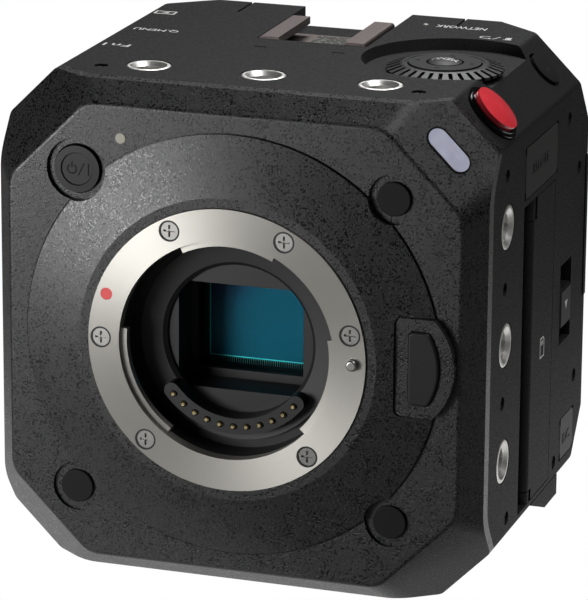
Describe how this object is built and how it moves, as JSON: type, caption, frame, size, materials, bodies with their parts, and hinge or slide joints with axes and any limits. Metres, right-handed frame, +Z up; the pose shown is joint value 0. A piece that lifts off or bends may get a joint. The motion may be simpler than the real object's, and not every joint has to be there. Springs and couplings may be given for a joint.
{
  "type": "box video camera",
  "caption": "Compact box-shaped digital video camera body with an open bayonet lens mount, thread sockets on its faces, an accessory shoe, a control dial and side doors.",
  "frame": {"origin": "mouth of the tripod socket in the bottom face, on the optical axis seen from below", "axes": "+Z up; the lens mount looks along -Y; +X is to the right of someone facing the lens, the side with the card door"},
  "size_m": [0.0932, 0.0881, 0.0941],
  "materials": {
    "coarse_black_paint": "rough black speckle paint over a light-alloy casting",
    "fine_black_paint": "fine matt black paint over a light-alloy casting",
    "grey_paint": "matt dark grey paint with light specks",
    "bare_casting": "bare light-alloy casting",
    "mount_steel": "satin turned steel",
    "spring_steel": "satin spring steel",
    "screw_steel": "blackened steel",
    "mount_screw_steel": "satin steel with a cross recess",
    "chrome_insert": "bright plated thread bush",
    "shoe_steel": "dark satin steel",
    "black_plastic": "matt black moulding",
    "button_plastic": "satin black button",
    "dial_plastic": "satin black ribbed wheel",
    "record_red": "bright red domed cap",
    "plated_collar": "bright plated ring",
    "index_red": "red index dot",
    "lamp_lens": "pale frosted lamp lens",
    "black_rubber": "black rubber",
    "contact_gold": "gold-plated contact",
    "filter_glass": "coated cover glass",
    "sensor_die": "sensor package with its die",
    "board_green": "circuit board",
    "copper_spreader": "copper heat spreader",
    "socket_metal": "plated socket shell"
  },
  "bodies": {
    "camera": {"front_cover": "coarse_black_paint", "mount_surround": "grey_paint", "main_frame": "bare_casting", "top_cover": "fine_black_paint", "bottom_cover": "fine_black_paint", "card_side_cover": "fine_black_paint", "fan_side_cover": "fine_black_paint", "rear_cover": "fine_black_paint", "lens_mount_ring": "mount_steel", "mount_screws": "mount_screw_steel", "mount_index_dot": "index_red", "mount_springs": "spring_steel", "mount_throat": "black_plastic", "sensor_frame": "black_plastic", "sensor_filter": "filter_glass", "image_sensor": "sensor_die", "sensor_board": "board_green", "heat_spreader": "copper_spreader", "power_lamp": "lamp_lens", "tally_lamp": "lamp_lens", "socket_caps": "black_rubber", "record_collar": "plated_collar", "key_switches": "black_plastic", "dial_hub": "black_plastic", "shoe_rails": "shoe_steel", "shoe_spring": "spring_steel", "cover_screws": "screw_steel", "door_pins": "screw_steel", "card_socket": "socket_metal", "jack_sockets": "socket_metal", "main_board": "board_green", "heat_sink": "bare_casting", "fan_housing": "black_plastic", "exhaust_grille": "fine_black_paint", "battery_terminals": "black_plastic", "bnc_sockets": "socket_metal", "data_sockets": "socket_metal", "top_inserts": "chrome_insert", "card_side_inserts": "chrome_insert", "fan_side_inserts": "chrome_insert", "bottom_inserts": "chrome_insert"},
    "lens_lock_pin": {"lens_lock_pin": "mount_steel"},
    "lens_release_button": {"lens_release_button": "button_plastic"},
    "contact_pins": {"contact_pins": "contact_gold"},
    "power_button": {"power_button": "button_plastic"},
    "record_button": {"record_button": "record_red"},
    "delete_button": {"delete_button": "button_plastic"},
    "function_button": {"function_button": "button_plastic"},
    "playback_button": {"playback_button": "button_plastic"},
    "control_dial": {"control_dial": "dial_plastic"},
    "cursor_carrier": {"cursor_carrier": "black_plastic"},
    "cursor_ring": {"cursor_ring": "button_plastic"},
    "menu_button": {"menu_button": "button_plastic"},
    "card_door": {"card_door": "fine_black_paint"},
    "card_latch": {"card_latch": "button_plastic"},
    "remote_flap": {"remote_flap": "button_plastic"},
    "dc_flap": {"dc_flap": "button_plastic"},
    "terminal_cover": {"terminal_cover": "black_rubber"},
    "battery_release": {"battery_release": "button_plastic"},
    "fan_rotor": {"fan_rotor": "black_plastic"}
  },
  "joints": [
    {"name": "lens_release_press", "type": "slide", "parent": "camera", "child": "lens_release_button", "axis": [0, 1, 0], "range_m": [0, 0.002], "stiffness_N_per_m": 400, "springref_m": -0.0008},
    {"name": "lens_lock_retract", "type": "slide", "parent": "camera", "child": "lens_lock_pin", "axis": [0, 1, 0], "range_m": [0, 0.0014]},
    {"name": "contact_pin_press", "type": "slide", "parent": "camera", "child": "contact_pins", "axis": [0, 1, 0], "range_m": [0, 0.0005], "stiffness_N_per_m": 300, "springref_m": -0.0003},
    {"name": "power_button_press", "type": "slide", "parent": "camera", "child": "power_button", "axis": [0, 1, 0], "range_m": [0, 0.0006], "stiffness_N_per_m": 300, "springref_m": -0.0005},
    {"name": "record_button_press", "type": "slide", "parent": "camera", "child": "record_button", "axis": [-0.7071, 0, -0.7071], "range_m": [0, 0.0006], "stiffness_N_per_m": 300, "springref_m": -0.0005},
    {"name": "delete_button_press", "type": "slide", "parent": "camera", "child": "delete_button", "axis": [-0.7071, 0, -0.7071], "range_m": [0, 0.0006], "stiffness_N_per_m": 300, "springref_m": -0.0005},
    {"name": "function_button_press", "type": "slide", "parent": "camera", "child": "function_button", "axis": [0.7071, 0, -0.7071], "range_m": [0, 0.0006], "stiffness_N_per_m": 300, "springref_m": -0.0005},
    {"name": "playback_button_press", "type": "slide", "parent": "camera", "child": "playback_button", "axis": [0.7071, 0, -0.7071], "range_m": [0, 0.0006], "stiffness_N_per_m": 300, "springref_m": -0.0005},
    {"name": "control_dial_turn", "type": "hinge", "parent": "camera", "child": "control_dial", "pos_m": [0.0286, 0.0193, 0.092], "axis": [0, 0, 1], "continuous": true},
    {"name": "cursor_rock_fore_aft", "type": "hinge", "parent": "camera", "child": "cursor_carrier", "pos_m": [0.0286, 0.0193, 0.0903], "axis": [1, 0, 0], "range_deg": [-2, 2], "stiffness_Nm_per_rad": 0.02},
    {"name": "cursor_rock_sideways", "type": "hinge", "parent": "cursor_carrier", "child": "cursor_ring", "pos_m": [0.0286, 0.0193, 0.0903], "axis": [0, 1, 0], "range_deg": [-2, 2], "stiffness_Nm_per_rad": 0.02},
    {"name": "menu_button_press", "type": "slide", "parent": "camera", "child": "menu_button", "axis": [0, 0, -1], "range_m": [0, 0.0005], "stiffness_N_per_m": 300, "springref_m": -0.0005},
    {"name": "card_door_open", "type": "hinge", "parent": "camera", "child": "card_door", "pos_m": [0.045, 0.0186, 0.0395], "axis": [0, 0, -1], "range_deg": [0, 105]},
    {"name": "card_latch_slide", "type": "slide", "parent": "camera", "child": "card_latch", "axis": [0, 0, -1], "range_m": [0, 0.0025], "stiffness_N_per_m": 100, "springref_m": -0.001},
    {"name": "remote_flap_open", "type": "hinge", "parent": "camera", "child": "remote_flap", "pos_m": [0.0458, 0.012, 0.0755], "axis": [0, 0, -1], "range_deg": [0, 100]},
    {"name": "dc_flap_open", "type": "hinge", "parent": "camera", "child": "dc_flap", "pos_m": [0.0458, 0.0419, 0.0155], "axis": [0, 0, -1], "range_deg": [0, 100]},
    {"name": "terminal_cover_open", "type": "hinge", "parent": "camera", "child": "terminal_cover", "pos_m": [0.0298, 0.0566, 0.0545], "axis": [0, 0, 1], "range_deg": [0, 100]},
    {"name": "battery_release_slide", "type": "slide", "parent": "camera", "child": "battery_release", "axis": [0, 0, -1], "range_m": [0, 0.003], "stiffness_N_per_m": 100, "springref_m": -0.001},
    {"name": "fan_spin", "type": "hinge", "parent": "camera", "child": "fan_rotor", "pos_m": [-0.0135, 0.0227, 0.0465], "axis": [0, 1, 0], "continuous": true}
  ],
  "couplings": [
    {"joint": "lens_lock_retract", "follows": "lens_release_press", "ratio": 0.7}
  ]
}
